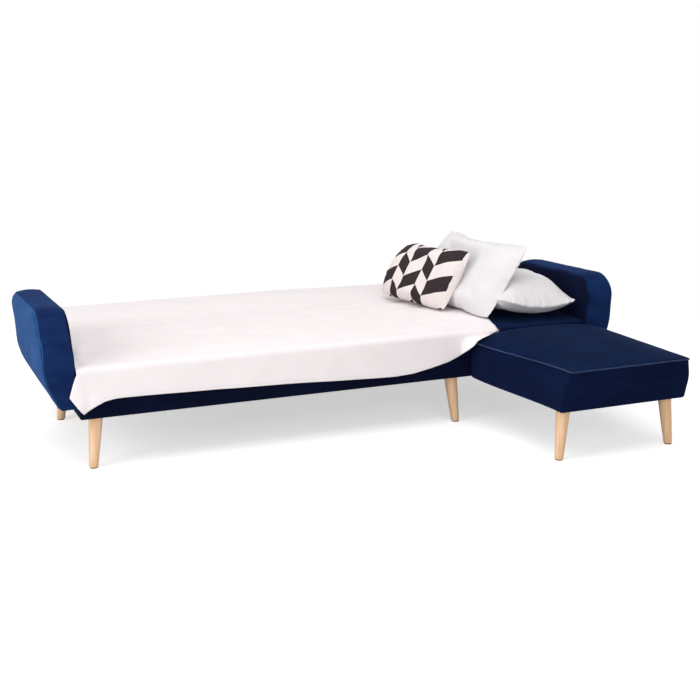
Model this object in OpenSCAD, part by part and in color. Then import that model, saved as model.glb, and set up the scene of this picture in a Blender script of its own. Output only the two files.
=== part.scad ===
// Corner futon sofa bed with a fold-flat back, flared padded arms, a hook-on chaise
// and its bedding. Millimetres, +Z up, +X across the width, -Y towards the sitter.
// The back lies flat, as a bed; it turns up about its hinge pins.

/* [Sofa] */
// Width of the seat between the arms
seat_w = 2344; // [2000:4:2600]
// Depth of the seat cushion, front to rear
seat_d = 650; // [560:5:720]
// Depth of the ledge behind the seat that carries the lowered back
ledge_d = 200; // [170:5:240]
// Height of the legs, floor to frame
leg_h = 220; // [160:5:280]
// Height of the upholstered front rail
rail_h = 90; // [80:2:110]
// Thickness of the seat cushion at its edge
seat_t = 118; // [90:2:150]
// Rise of the seat's middle above its edge
seat_crown = 10; // [4:1:16]

/* [Back] */
// Thickness of the back, which is also twice its hinge-end radius
back_t = 150; // [130:2:170]
// Length of the back from its hinge to its free edge
back_l = 445; // [380:5:520]
// Radius of the back's free edge
back_edge_r = 42; // [20:1:50]
// Gap between the seat and the back
back_gap = 5; // [3:0.5:8]
// Space at each end of the back for the hinge plates
back_end_gap = 14; // [13:0.5:20]

/* [Arms] */
// Depth of an arm, front to rear
arm_d = 685; // [600:5:720]
// Height of an arm's top above the floor, at the front
arm_top = 656; // [580:2:740]
// Fall of an arm's top from front to rear
arm_fall = 16; // [0:1:30]
// Height of an arm's underside above the floor
arm_base = 266; // [262:1:276]
// Thickness of an arm at its underside
arm_foot_t = 74; // [66:1:90]
// Thickness of an arm at its top
arm_head_t = 150; // [136:1:180]
// Outward lean of an arm's inner face
arm_lean = 14; // [4:1:24]
// Radius of an arm's front top corner
arm_front_r = 116; // [80:2:130]
// Radius of an arm's rear top corner
arm_rear_r = 90; // [60:2:120]

/* [Chaise] */
// Width of the chaise
chaise_w = 630; // [600:2:720]
// Length of the chaise, out from the sofa's front
chaise_l = 651; // [520:1:760]
// Height of the chaise's top edge above the floor
chaise_edge = 386; // [360:2:400]
// Rise of the chaise's middle above its edge
chaise_crown = 48; // [30:1:60]
// Gap between the chaise and the sofa's front
chaise_gap = 5; // [4:0.5:8]
// Distance from the seat's right end to the chaise's right side
chaise_overhang = 90; // [60:2:130]
// Radius of the piping round the chaise's top edge
piping_r = 3.4; // [2.6:0.1:4]

/* [Legs] */
// Radius of a leg at its top
leg_top_r = 29.5; // [24:0.5:34]
// Radius of a leg at its foot
leg_foot_r = 18; // [14:0.5:22]
// Tilt of a leg away from upright, in degrees
leg_tilt = 6; // [0:0.5:10]
// Distance from a frame corner to a leg's top centre
leg_inset = 75; // [60:1:90]
// Distance of the middle legs from the sofa's centre line
leg_mid_x = 514; // [420:2:540]

/* [Materials] */
// Thickness of the velvet with its wadding
skin = 3; // [2:0.5:4]
// Width of a wooden rail
rail_w = 42; // [32:1:50]
// Thickness of a plywood panel
board_t = 18; // [12:1:22]
// Thickness of a steel plate
plate_t = 4; // [3:0.5:5]
// Radius of the hinge pins
pin_r = 6; // [4:0.5:8]
// Radius of the bolts
bolt_r = 4; // [3:0.5:5]

/* [Bedding] */
// Thickness of the sheet
sheet_t = 3; // [2:0.5:4]
// Width of the sheet from the left end of the seat
sheet_w = 1900; // [1500:10:2000]
// Length of a pillow
pillow_l = 665; // [560:5:720]
// Width of a pillow
pillow_w = 405; // [380:5:500]
// Thickness of a pillow at its middle
pillow_t = 130; // [90:5:150]
// Length of the patterned cushion
cushion_l = 450; // [360:5:480]
// Width of the patterned cushion
cushion_w = 300; // [260:5:340]
// Thickness of the patterned cushion at its middle
cushion_t = 95; // [70:5:110]

/* [Hidden] */

velvet = "#14284b";
foam_colour = "#e6dcc0";
pine = "#cfae7a";
beech = "#e0b487";
steel = "#8d9196";
black = "#202124";
webbing_colour = "#6b6357";
white = "#f5f1f0";

fit = 0.3;                                  // clearance between a soft piece and its seat
run = 0.05;                                 // radial clearance of a pin in its bore
arc_n = 6;                                  // points in a rounded corner
crown_n = 12;                               // points in a crowned top

half_w = seat_w / 2;
base_d = seat_d + ledge_d;                  // depth of the base frame
hinge_y = seat_d + back_gap + back_t / 2;   // hinge axis, from the sofa's front face
back_end = hinge_y + back_l;                // free edge of the lowered back
piping_out = 1.6;                           // piping's centre outside the seam
sheet_y = 0.6;                              // sheet in front of the sofa's face
rear_reach = back_end + sheet_y + sheet_t;
front_reach = chaise_gap + chaise_l + piping_out + piping_r;
front_y = -(rear_reach - front_reach) / 2;  // puts the origin under the middle
seat_z = leg_h + rail_h;                    // underside of the seat cushion
seat_top = seat_z + seat_t;                 // edge of the seat's top
hinge_z = seat_top - back_t / 2;            // hinge axis height
back_under = hinge_z - back_t / 2;          // underside of the lowered back
dust_t = 1.5;                               // non-woven cover under the frame
rail_z = leg_h + plate_t;                   // underside of the wooden rails
web_t = 3;                                  // thickness of the webbing
web_w = 60;                                 // width of one strap
rail_top = seat_z - web_t - fit;            // top of the wooden rails
ledge_top = back_under - 5;                 // top of the rails behind the seat
rail_in = skin + fit;                       // rail face behind the cover
hinge_x = half_w - back_end_gap + fit;      // inner face of the plate on the back
back_half = half_w - back_end_gap;          // half the length of the back
ear_r = 34;                                 // radius of a hinge plate's round end
bracket_l = 60;                             // width of a hinge bracket's foot
hinge_arm = 120;                            // reach of a hinge plate along the back's end
slat = 15;                                  // half the width of a cross rail
cross_xs = [-half_w / 2, leg_mid_x / 12, half_w / 2 + 2 * leg_top_r];
strap_gaps = 13;                            // spaces between the straps along the seat
seat_strap_in = 110;                        // seat's end to the middle of its first strap
back_strap_in = 130;
buffer_r = 17;                              // radius of a rubber buffer
buffer_spots = [-0.8, -0.27, 0.27, 0.8];    // buffers along the ledge, share of half_w
back_rail_in = 10;                          // end of the back to its rails
back_rail_h = 38;                           // height of the rails in the back
back_rail_z = back_under + skin + 1;        // underside of the rails in the back
back_front_y = hinge_y + ear_r;             // rear face of the rail by the hinge
back_rear_y = back_end - 2 * back_edge_r;   // front face of the rail by the free edge
chaise_x1 = half_w + chaise_overhang;       // right side of the chaise
chaise_x0 = chaise_x1 - chaise_w;           // left side of the chaise
chaise_y1 = -chaise_gap;                    // rear face of the chaise
chaise_y0 = chaise_y1 - chaise_l;           // front face of the chaise
chaise_corner_r = 12;                       // radius of the chaise's front corners
chaise_front_in = rail_in + 8;              // front face of the chaise to its rail
chaise_side_in = 18;                        // side face of the chaise to its rail
chaise_rail_w = 30;                         // width of the chaise's side rails
chaise_leg_in = 62;                         // chaise's side to its leg's top centre
chaise_strap_gaps = 4;
chaise_strap_in = 80;                       // chaise's side to the middle of its first strap
chaise_rail_h = 64;                         // height of the chaise's rails
chaise_rail_top = rail_z + chaise_rail_h;
glide_t = 3;                                // thickness of a felt glide
glide_r = leg_foot_r - 2;
leg_bore = 38;                              // depth of the bolt bore in a leg
block_w = 84;                               // width of a leg block
block_h = 46;                               // height of a leg block
plate_r = leg_top_r + 5;                    // radius of a leg plate
hook_w = 50;                                // width of a chaise hook
hook_left_in = 130;                         // chaise's left side to its first hook
hook_right_in = 200;                        // chaise's right side to its second hook
hook_end_in = 120;                          // end of the sofa's seat to the second hook
hook_drop = 18;                             // length of a hook's tongue
hook_z = rail_z + 60;                       // underside of a hook's arm
socket_wall = 3;                            // wall of a hook socket
socket_gap = 1;                             // clearance round a tongue
tongue_t = 5;                               // thickness of a tongue
tongue_y = rail_in + socket_wall + socket_gap;
socket_d = 2 * socket_wall + 2 * socket_gap + tongue_t;
hook_xs = [chaise_x0 + hook_left_in, min(chaise_x1 - hook_right_in, half_w - hook_end_in)];
window_w = hook_w + 12;                     // opening in the covers for a hook
arm_bolt_ys = [90, arm_d / 2, arm_d - 100];
arm_bolt_z = (arm_base + rail_top) / 2 + 4;
arm_x = half_w + 3;                         // inner face of an arm
arm_y0 = 0;                                 // front face of an arm
arm_curve = 185;                            // height of the arm's lower curve
arm_head_r = 34;                            // radius of the arm's top corners
arm_board_in = skin + arm_lean + 3;         // inner face of an arm to its board
board_in = 24;                              // front and rear of an arm to its board
board_front_r = 70;                         // radius of the board's front top corner
board_rear_r = 60;                          // radius of the board's rear top corner
sheet_left = 6;                             // sheet edge beyond the seat's left end
sheet_rear_drop = 90;                       // sheet hanging over the back's free edge
sheet_x0 = -half_w - sheet_left;
sheet_x1 = sheet_x0 + sheet_w;
sheet_lift = 1;                             // sheet above the cushions
sheet_z = seat_top + seat_crown + sheet_lift;
pillow_lean = 55;                           // standing pillow, from level
cushion_lean = 68;                          // patterned cushion, from level
lying_tilt = 9;                             // lying pillow, left side raised
pillow_turn = -83;                          // standing pillow, about the vertical
standing_lift = 4.3;                        // standing pillow's rounded edge above the sheet
lying_lift = 11.8;                          // lying pillow's tilted underside above the seat
cushion_turn = -73;                         // patterned cushion, about the vertical
pillow_y = seat_d * 0.7;                    // middle of each piece behind the seat's front
lying_y = seat_d * 0.6154;
cushion_y = seat_d * 0.8615;
lying_l = pillow_l - 40;                    // the lying pillow is bunched up
lying_w = pillow_w - 85;
lying_t = pillow_t + 40;
lying_x = half_w - lying_w / 2 - 12;
standing_x = lying_x - lying_w / 2 - pillow_t / 2 + 24;
cushion_x = standing_x - (pillow_t + cushion_t) * 0.786;
base_legs = [
    [-half_w + leg_inset, leg_inset, -1, -1], [leg_mid_x, leg_inset, 1, -1],
    [half_w - leg_inset, leg_inset, 1, -1],
    [-half_w + leg_inset, base_d - leg_inset, -1, 1], [leg_mid_x, base_d - leg_inset, 1, 1],
    [half_w - leg_inset, base_d - leg_inset, 1, 1]
];
chaise_legs = [
    [chaise_x0 + chaise_leg_in, chaise_y0 + leg_inset, -1, -1],
    [chaise_x1 - chaise_leg_in, chaise_y0 + leg_inset, 1, -1]
];

// Points of an arc about [x, y]
function arc(x, y, r, a0, a1, n = arc_n) =
    [for (i = [0 : n]) let (a = a0 + (a1 - a0) * i / n) [x + r * cos(a), y + r * sin(a)]];

// Circular arc from [x0, z] to [x1, z] that rises by h at its middle, drawn right to left
function crown(x0, x1, z, h, n = crown_n) =
    [for (i = [0 : n]) let (t = 1 - 2 * i / n) [(x0 + x1) / 2 + t * (x1 - x0) / 2, z + h * (1 - t * t)]];

// Rectangle with a crowned top whose top corners are cut back by r
function crowned(x0, x1, z0, z1, h, r) = concat(
    [[x0, z0], [x1, z0], [x1, z1 - r]], arc(x1 - r, z1 - r, r, 15, 75, 3),
    crown(x0 + r, x1 - r, z1, h), arc(x0 + r, z1 - r, r, 105, 165, 3), [[x0, z1 - r]]);

module place() {
    translate([0, front_y, 0]) children();
}

module box(x0, x1, y0, y1, z0, z1) {
    translate([x0, y0, z0]) cube([x1 - x0, y1 - y0, z1 - z0]);
}

// Extrudes a profile of [y, z] points along X
module along_x(x0, x1, points) {
    translate([x0, 0, 0]) rotate([90, 0, 90]) linear_extrude(x1 - x0) polygon(points);
}

// Extrudes a profile of [x, z] points along Y
module along_y(y0, y1, points) {
    translate([0, y1, 0]) rotate([90, 0, 0]) linear_extrude(y1 - y0) polygon(points);
}

module post(x, y, z0, z1, r, n = 48) {
    translate([x, y, z0]) cylinder(h = z1 - z0, r = r, $fn = n);
}

module rod_x(x0, x1, y, z, r) {
    translate([x0, y, z]) rotate([0, 90, 0]) cylinder(h = x1 - x0, r = r, $fn = 48);
}

module mirror_ends() {
    children();
    mirror([1, 0, 0]) children();
}

// ---- Legs ----

// One turned leg: a tapered cone tilted along both axes, cut level at top and foot
module turned_leg(l) {
    reach = leg_h / cos(leg_tilt) + 40;
    slope = (leg_top_r - leg_foot_r) / (leg_h - glide_t);
    color(beech) place() difference() {
        intersection() {
            box(l[0] - 90, l[0] + 90, l[1] - 90, l[1] + 90, glide_t, leg_h);
            translate([l[0], l[1], leg_h])
                rotate([l[3] * leg_tilt * 0.75, -l[2] * leg_tilt * 0.95, 0])
                    translate([0, 0, -reach])
                        cylinder(h = reach + 20, r1 = leg_top_r - slope * reach,
                            r2 = leg_top_r + slope * 20, $fn = 48);
        }
        post(l[0], l[1], leg_h - leg_bore, leg_h + 1, bolt_r + fit);
    }
}

function foot(l) = [
    l[0] + l[2] * leg_h * tan(leg_tilt * 0.95),
    l[1] + l[3] * leg_h * tan(leg_tilt * 0.75)
];

module leg_plate(l) {
    color(steel) place() difference() {
        post(l[0], l[1], leg_h, rail_z, plate_r);
        post(l[0], l[1], leg_h - 1, rail_z + 1, bolt_r + fit);
    }
}

module leg_bolt(l) {
    color(steel) place()
        post(l[0], l[1], leg_h - leg_bore + 2, rail_z + block_h - 8, bolt_r);
}

module leg_glide(l) {
    color(black) place() post(foot(l)[0], foot(l)[1], 0, glide_t, glide_r);
}

module leg_block(l) {
    color(pine) place() difference() {
        box(l[0] - block_w / 2, l[0] + block_w / 2, l[1] - block_w / 2, l[1] + block_w / 2,
            rail_z, rail_z + block_h);
        post(l[0], l[1], rail_z - 1, rail_z + block_h - 6, bolt_r + fit);
        leg_block_clear();
    }
}

// Room in a leg block for the rails that it is glued between
module leg_block_clear() {
    end_x = half_w - rail_in - rail_w;
    box(-2 * half_w, 2 * half_w, -base_d, rail_in + rail_w, 0, seat_z);
    box(-2 * half_w, 2 * half_w, base_d - rail_in - rail_w, 2 * base_d, 0, seat_z);
    mirror_ends() box(end_x, 2 * half_w, -base_d, 2 * base_d, 0, seat_z);
}

// ---- Base ----

module front_rail() {
    color(pine) place() difference() {
        box(-half_w + rail_in, half_w - rail_in, rail_in, rail_in + rail_w, rail_z, rail_top);
        for (x = hook_xs)
            box(x - window_w / 2, x + window_w / 2, rail_in - 1, rail_in + socket_d + fit,
                hook_z - hook_drop - 12, rail_top + 1);
    }
}

module rear_rail() {
    color(pine) place()
        box(-half_w + rail_in, half_w - rail_in, base_d - rail_in - rail_w, base_d - rail_in,
            rail_z, ledge_top);
}

// End rails step down behind the seat to let the back lie flat
module end_rails() {
    y0 = rail_in + rail_w;
    y1 = base_d - rail_in - rail_w;
    color(pine) place() mirror_ends() difference() {
        along_x(half_w - rail_in - rail_w, half_w - rail_in, [
            [y0, rail_z], [y1, rail_z], [y1, ledge_top], [seat_d, ledge_top],
            [seat_d, rail_top], [y0, rail_top]]);
        for (y = arm_bolt_ys)
            rod_x(half_w - 80, half_w + 10, y, arm_bolt_z, bolt_r + fit);
    }
}

module cross_rails() {
    y0 = rail_in + rail_w;
    color(pine) place() for (x = cross_xs)
        box(x - slat, x + slat, y0, base_d - y0, rail_z, ledge_top);
    color(pine) place()
        box(-half_w + y0, half_w - y0, seat_d - 34, seat_d - 4, ledge_top, rail_top);
}

module leg_blocks() {
    for (l = base_legs) leg_block(l);
}

module seat_webbing() {
    step = (seat_w - 2 * seat_strap_in) / strap_gaps;
    y0 = rail_in + socket_d + 2;
    color(webbing_colour) place() for (i = [0 : strap_gaps])
        translate([-half_w + seat_strap_in + i * step, 0, 0])
            box(-web_w / 2, web_w / 2, y0, seat_d - 8, rail_top, rail_top + web_t);
}

module seat_block(inset, z0) {
    r = 26;
    i = inset;
    intersection() {
        along_x(-half_w + i, half_w - i,
            crowned(i, seat_d - i, z0, seat_top - i, seat_crown, r - i));
        along_y(-1, seat_d + 1,
            crowned(-half_w + i, half_w - i, z0, seat_top + seat_crown * 0.6 - i,
                seat_crown * 0.4, 4));
    }
}

module seat_foam() {
    color(foam_colour) place() seat_block(skin + fit, seat_z);
}

module seat_cover() {
    color(velvet) place() difference() {
        seat_block(0, seat_z + fit);
        seat_block(skin, seat_z - 20);
    }
}

// Upholstered band round the base, open where the hooks of the chaise pass
module base_cover() {
    color(velvet) place() difference() {
        along_x(-half_w, half_w, [[0, leg_h], [base_d, leg_h], [base_d, ledge_top],
            [seat_d, ledge_top], [seat_d, seat_z], [0, seat_z]]);
        box(-half_w + skin, half_w - skin, skin, base_d - skin, 0, seat_z + 1);
        for (x = hook_xs)
            box(x - window_w / 2, x + window_w / 2, -1, skin + 1,
                hook_z - hook_drop - 12, seat_z + 1);
        for (y = arm_bolt_ys) {
            rod_x(-half_w - 10, -half_w + 10, y, arm_bolt_z, bolt_r + fit);
            rod_x(half_w - 10, half_w + 10, y, arm_bolt_z, bolt_r + fit);
        }
    }
}

module base_dust_cover() {
    color(black) place() difference() {
        box(-half_w + rail_in, half_w - rail_in, rail_in, base_d - rail_in,
            rail_z - dust_t, rail_z);
        for (l = base_legs) post(l[0], l[1], 0, seat_z, plate_r + 1);
    }
}

// ---- Arms ----

// Front profile of an arm, [x, z], drawn in by i: curved below, leaning above
function arm_front(i, z0) = concat(
    [[arm_x + i + arm_lean * (z0 - arm_base) / (arm_top - arm_base), z0],
        [arm_x + arm_foot_t - i, z0]],
    [for (k = [0 : 8]) let (t = k / 8)
        [arm_x + arm_foot_t + (arm_head_t * 0.9 - arm_foot_t) * sin(90 * t) - i,
            max(z0, arm_base) + (arm_base + arm_curve - max(z0, arm_base)) * t]],
    arc(arm_x + arm_head_t - arm_head_r - 1, arm_top - arm_head_r, arm_head_r - i, 5, 82),
    arc(arm_x + arm_lean + arm_head_r * 0.7, arm_top - arm_head_r * 0.7 - 3,
        arm_head_r * 0.7 - i, 95, 175));

// Side profile of an arm, [y, z], drawn in by i
function arm_side(i, z0) = concat(
    [[arm_y0 + i, z0], [arm_y0 + arm_d - i, z0]],
    arc(arm_y0 + arm_d - arm_rear_r, arm_top - arm_fall - arm_rear_r, arm_rear_r - i, 5, 88),
    arc(arm_y0 + arm_front_r, arm_top - arm_front_r, arm_front_r - i, 90, 175));

module arm_block(i, z0) {
    intersection() {
        along_y(arm_y0 - 1, arm_y0 + arm_d + 1, arm_front(i, z0));
        along_x(arm_x - 1, arm_x + arm_head_t + 20, arm_side(i, z0));
    }
}

// Plywood board inside the arm, grown by g for its pocket in the foam
module arm_board(g) {
    x0 = arm_x + arm_board_in;
    top = arm_top - 70;
    along_x(x0 - g, x0 + board_t + g, concat(
        [[arm_y0 + board_in - g, arm_base + 2 - (g > 0 ? 20 : 0)],
            [arm_y0 + arm_d - board_in + g, arm_base + 2 - (g > 0 ? 20 : 0)]],
        arc(arm_y0 + arm_d - board_in - board_rear_r, top - board_rear_r, board_rear_r + g, 0, 90),
        arc(arm_y0 + board_in + board_front_r, top - board_front_r, board_front_r + g, 90, 180)));
}

module arm_bores(r) {
    for (y = arm_bolt_ys) rod_x(half_w - 80, arm_x + arm_foot_t - 12, y, arm_bolt_z, r);
}

module arm_frame() {
    color(pine) place() difference() {
        arm_board(0);
        arm_bores(bolt_r + fit);
    }
}

module arm_foam() {
    color(foam_colour) place() difference() {
        arm_block(skin + fit, arm_base + 2);
        arm_board(fit);
        for (y = arm_bolt_ys)
            rod_x(half_w, arm_x + arm_foot_t - 10, y, arm_bolt_z, bolt_r * 2.2);
    }
}

module arm_cover() {
    color(velvet) place() difference() {
        arm_block(0, arm_base);
        arm_block(skin, arm_base - 20);
        arm_bores(bolt_r + fit);
    }
}

// Bolts from inside the end rail into the arm board
module arm_bolts() {
    rail_x = half_w - rail_in - rail_w;
    color(steel) place() for (y = arm_bolt_ys) {
        rod_x(rail_x, arm_x + arm_board_in + board_t + 4, y, arm_bolt_z, bolt_r);
        rod_x(rail_x - 5, rail_x, y, arm_bolt_z, bolt_r * 2);
    }
}

module left_arm_frame() {
    mirror([1, 0, 0]) arm_frame();
}
module left_arm_foam() {
    mirror([1, 0, 0]) arm_foam();
}
module left_arm_cover() {
    mirror([1, 0, 0]) arm_cover();
}
module left_arm_bolts() {
    mirror([1, 0, 0]) arm_bolts();
}
module right_arm_frame() {
    arm_frame();
}
module right_arm_foam() {
    arm_foam();
}
module right_arm_cover() {
    arm_cover();
}
module right_arm_bolts() {
    arm_bolts();
}

// ---- Hinge ----

// Bracket on the end rail: a foot on the ledge and an upright ear round the pin
module hinge_brackets() {
    ear_x = hinge_x + plate_t + fit;
    color(steel) place() mirror_ends() difference() {
        union() {
            along_x(ear_x, ear_x + plate_t, concat(
                [[hinge_y - ear_r, ledge_top], [hinge_y + ear_r, ledge_top]],
                arc(hinge_y, hinge_z, ear_r, 0, 180, 16)));
            box(ear_x - bracket_l, ear_x + plate_t, hinge_y - ear_r, hinge_y + ear_r,
                ledge_top, ledge_top + plate_t);
        }
        rod_x(ear_x - 1, ear_x + plate_t + 1, hinge_y, hinge_z, pin_r + run);
    }
}

// Headed pins through both plates of each hinge
module hinge_pins() {
    ear_x = hinge_x + plate_t + fit;
    color(steel) place() mirror_ends() {
        rod_x(hinge_x + 0.2, ear_x + plate_t + fit, hinge_y, hinge_z, pin_r);
        rod_x(ear_x + plate_t + fit, ear_x + plate_t + 3, hinge_y, hinge_z, pin_r * 1.6);
    }
}

module back_buffers() {
    color(black) place() for (x = buffer_spots)
        post(x * half_w, base_d - rail_in - rail_w / 2, ledge_top, back_under - fit, buffer_r);
}

// Steel cups let into the front rail for the hooks of the chaise
module chaise_sockets() {
    top = hook_z - 0.4;
    color(steel) place() for (x = hook_xs) difference() {
        box(x - window_w / 2 + 1, x + window_w / 2 - 1, rail_in, rail_in + socket_d,
            hook_z - hook_drop - 8, top);
        box(x - hook_w / 2 - 2, x + hook_w / 2 + 2, tongue_y - socket_gap,
            tongue_y + tongue_t + socket_gap, hook_z - hook_drop - 4, top + 1);
    }
}

// ---- Back ----

// Side profile of the back, [y, z], drawn in by i: round at the hinge
function back_profile(i, z0) = concat(
    [[hinge_y, hinge_z - back_t / 2 + z0]],
    [[back_end - back_edge_r, hinge_z - back_t / 2 + z0]],
    arc(back_end - back_edge_r, hinge_z - back_t / 2 + back_edge_r, back_edge_r - i, -80, 0),
    arc(back_end - back_edge_r, hinge_z + back_t / 2 - back_edge_r, back_edge_r - i, 0, 90),
    arc(hinge_y, hinge_z, back_t / 2 - i, 90, 265, 14));

module back_block(i, z0 = 0) {
    along_x(-back_half + i, back_half - i, back_profile(i, z0));
}

module back_foam() {
    z_split = back_rail_z + back_rail_h + web_t + 2;
    color(foam_colour) place() intersection() {
        back_block(skin + fit, skin + fit);
        union() {
            box(-half_w, half_w, hinge_y - back_t, back_end, z_split, seat_top + 40);
            box(-half_w, half_w, hinge_y - back_t, hinge_y - 12, 0, seat_top);
        }
    }
}

module back_cover() {
    color(velvet) place() difference() {
        back_block(0);
        back_block(skin, -20);
    }
}

module back_long_rails() {
    x = back_half - back_rail_in;
    color(pine) place() for (y = [[back_front_y - rail_w, back_front_y],
            [back_rear_y, back_rear_y + back_rail_h]])
        box(-x, x, y[0], y[1], back_rail_z, back_rail_z + back_rail_h);
}

module back_end_rails() {
    x1 = back_half - back_rail_in;
    color(pine) place() mirror_ends()
        box(x1 - rail_w, x1, back_front_y, back_rear_y, back_rail_z, back_rail_z + back_rail_h);
}

module back_cross_rails() {
    color(pine) place() for (x = [-half_w / 2, 0, half_w / 2])
        box(x - slat, x + slat, back_front_y, back_rear_y, back_rail_z,
            back_rail_z + back_rail_h);
}

module back_webbing() {
    z0 = back_rail_z + back_rail_h;
    step = (seat_w - 2 * back_strap_in) / strap_gaps;
    color(webbing_colour) place() for (i = [0 : strap_gaps])
        translate([-half_w + back_strap_in + i * step, 0, 0])
            box(-web_w / 2, web_w / 2, hinge_y, back_end - back_edge_r - 8, z0, z0 + web_t);
}

module back_lining() {
    color(black) place()
        box(-back_half + skin + fit, back_half - skin - fit, hinge_y + 4,
            back_end - back_edge_r - 2, back_under + 1, back_rail_z);
}

// Plates on the ends of the back, bored for the hinge pins
module hinge_back_plates() {
    color(steel) place() mirror_ends() difference() {
        along_x(hinge_x, hinge_x + plate_t, concat(
            [[hinge_y + hinge_arm, hinge_z - hinge_arm / 6],
                [hinge_y + hinge_arm, hinge_z + hinge_arm / 6]],
            arc(hinge_y, hinge_z, ear_r, 90, 270, 16)));
        rod_x(hinge_x - 1, hinge_x + plate_t + 1, hinge_y, hinge_z, pin_r + run);
    }
}

// ---- Chaise ----

// Side profile of the chaise, [y, z]: its top rises from the front to the sofa
function chaise_side(i, z0) = concat(
    [[chaise_y0 + i, z0], [chaise_y1 - i, z0]],
    [for (k = [crown_n : -1 : 0]) let (t = k / crown_n)
        [chaise_y0 + i + t * (chaise_l - 2 * i),
            chaise_edge - i + chaise_crown * (1 - pow(1 - t, 2.5))]]);

module chaise_block(i, z0) {
    r = chaise_corner_r;
    intersection() {
        along_x(chaise_x0 + i, chaise_x1 - i, chaise_side(i, z0));
        along_y(chaise_y0 - 1, chaise_y1 + 1,
            crowned(chaise_x0 + i, chaise_x1 - i, z0, chaise_edge - i, chaise_crown, 4));
        linear_extrude(chaise_edge + chaise_crown + 1) polygon(concat(
            arc(chaise_x0 + r, chaise_y0 + r, r - i, 180, 270),
            arc(chaise_x1 - r, chaise_y0 + r, r - i, 270, 360),
            [[chaise_x1 - i, chaise_y1 - i], [chaise_x0 + i, chaise_y1 - i]]));
    }
}

module chaise_foam() {
    color(foam_colour) place() chaise_block(rail_in, chaise_rail_top + web_t + fit);
}

module chaise_cover() {
    color(velvet) place() difference() {
        chaise_block(0, leg_h);
        chaise_block(skin, leg_h - 20);
        piping(piping_r + fit);
        for (x = hook_xs)
            box(x - window_w / 2, x + window_w / 2, chaise_y1 - skin - 1, chaise_y1 + 1,
                hook_z - 12, hook_z + plate_t + 12);
    }
}

// Cord sewn in the seam round the front and sides of the top
module piping(r) {
    x0 = chaise_x0 - piping_out;
    x1 = chaise_x1 + piping_out;
    y0 = chaise_y0 - piping_out;
    z = chaise_edge - 2;
    c = chaise_corner_r;
    rod_x(x0 + c, x1 - c, y0, z, r);
    for (x = [x0, x1])
        translate([x, y0 + c, z]) rotate([-90, 0, 0])
            cylinder(h = chaise_y1 - y0 - c, r = r, $fn = 48);
    for (p = [[x0 + c, 180], [x1 - c, 270]])
        translate([p[0], y0 + c, z]) rotate([0, 0, p[1]])
            rotate_extrude(angle = 90, $fn = 48) translate([c, 0]) circle(r, $fn = 48);
}

module chaise_piping() {
    color(velvet) place() piping(piping_r);
}

module chaise_front_rail() {
    color(pine) place() box(chaise_x0 + chaise_side_in, chaise_x1 - chaise_side_in,
        chaise_y0 + chaise_front_in, chaise_y0 + chaise_front_in + rail_w, rail_z, chaise_rail_top);
}

module chaise_rear_rail() {
    color(pine) place() box(chaise_x0 + chaise_side_in, chaise_x1 - chaise_side_in,
        chaise_y1 - rail_in - rail_w, chaise_y1 - rail_in, rail_z, chaise_rail_top);
}

module chaise_side_rails() {
    y0 = chaise_y0 + chaise_front_in + rail_w;
    y1 = chaise_y1 - rail_in - rail_w;
    mid = (chaise_x0 + chaise_x1) / 2;
    color(pine) place() {
        for (x = [chaise_x0 + chaise_side_in, chaise_x1 - chaise_side_in - chaise_rail_w])
            box(x, x + chaise_rail_w, y0, y1, rail_z, chaise_rail_top);
        box(mid - slat, mid + slat, y0, y1, rail_z, chaise_rail_top - 10);
    }
}

module chaise_webbing() {
    step = (chaise_w - 2 * chaise_strap_in) / chaise_strap_gaps;
    color(webbing_colour) place() for (i = [0 : chaise_strap_gaps])
        translate([chaise_x0 + chaise_strap_in + i * step, 0, 0])
            box(-web_w / 2, web_w / 2, chaise_y0 + 16, chaise_y1 - 10, chaise_rail_top,
                chaise_rail_top + web_t);
}

module chaise_leg_blocks() {
    y0 = chaise_y0 + chaise_front_in + rail_w;
    color(pine) place() for (l = chaise_legs) difference() {
        box(l[0] - 12, l[0] + 12, y0, l[1] + block_w / 2 + 20, rail_z, rail_z + block_h);
        box(-half_w, chaise_x0 + chaise_side_in + chaise_rail_w, -2 * chaise_l, 0, 0, chaise_edge);
        box(chaise_x1 - chaise_side_in - chaise_rail_w, 2 * half_w, -2 * chaise_l, 0, 0,
            chaise_edge);
        post(l[0], l[1], 0, rail_z + block_h - 6, bolt_r + fit);
    }
}

module chaise_dust_cover() {
    color(black) place() difference() {
        box(chaise_x0 + chaise_side_in, chaise_x1 - chaise_side_in, chaise_y0 + chaise_front_in,
            chaise_y1 - rail_in, rail_z - dust_t, rail_z);
        for (l = chaise_legs) post(l[0], l[1], 0, seat_z, plate_r + 1);
    }
}

// Steel arms on the rear rail with tongues that drop in the sockets
module chaise_hooks() {
    color(steel) place() for (x = hook_xs) {
        along_x(x - hook_w / 2, x + hook_w / 2, [
            [chaise_y1 - rail_in, hook_z - 10], [chaise_y1 - rail_in + 3, hook_z - 10],
            [chaise_y1 - rail_in + 3, hook_z], [tongue_y, hook_z],
            [tongue_y, hook_z - hook_drop], [tongue_y + tongue_t, hook_z - hook_drop],
            [tongue_y + tongue_t, hook_z + plate_t], [chaise_y1 - rail_in, hook_z + plate_t]]);
    }
}

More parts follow.
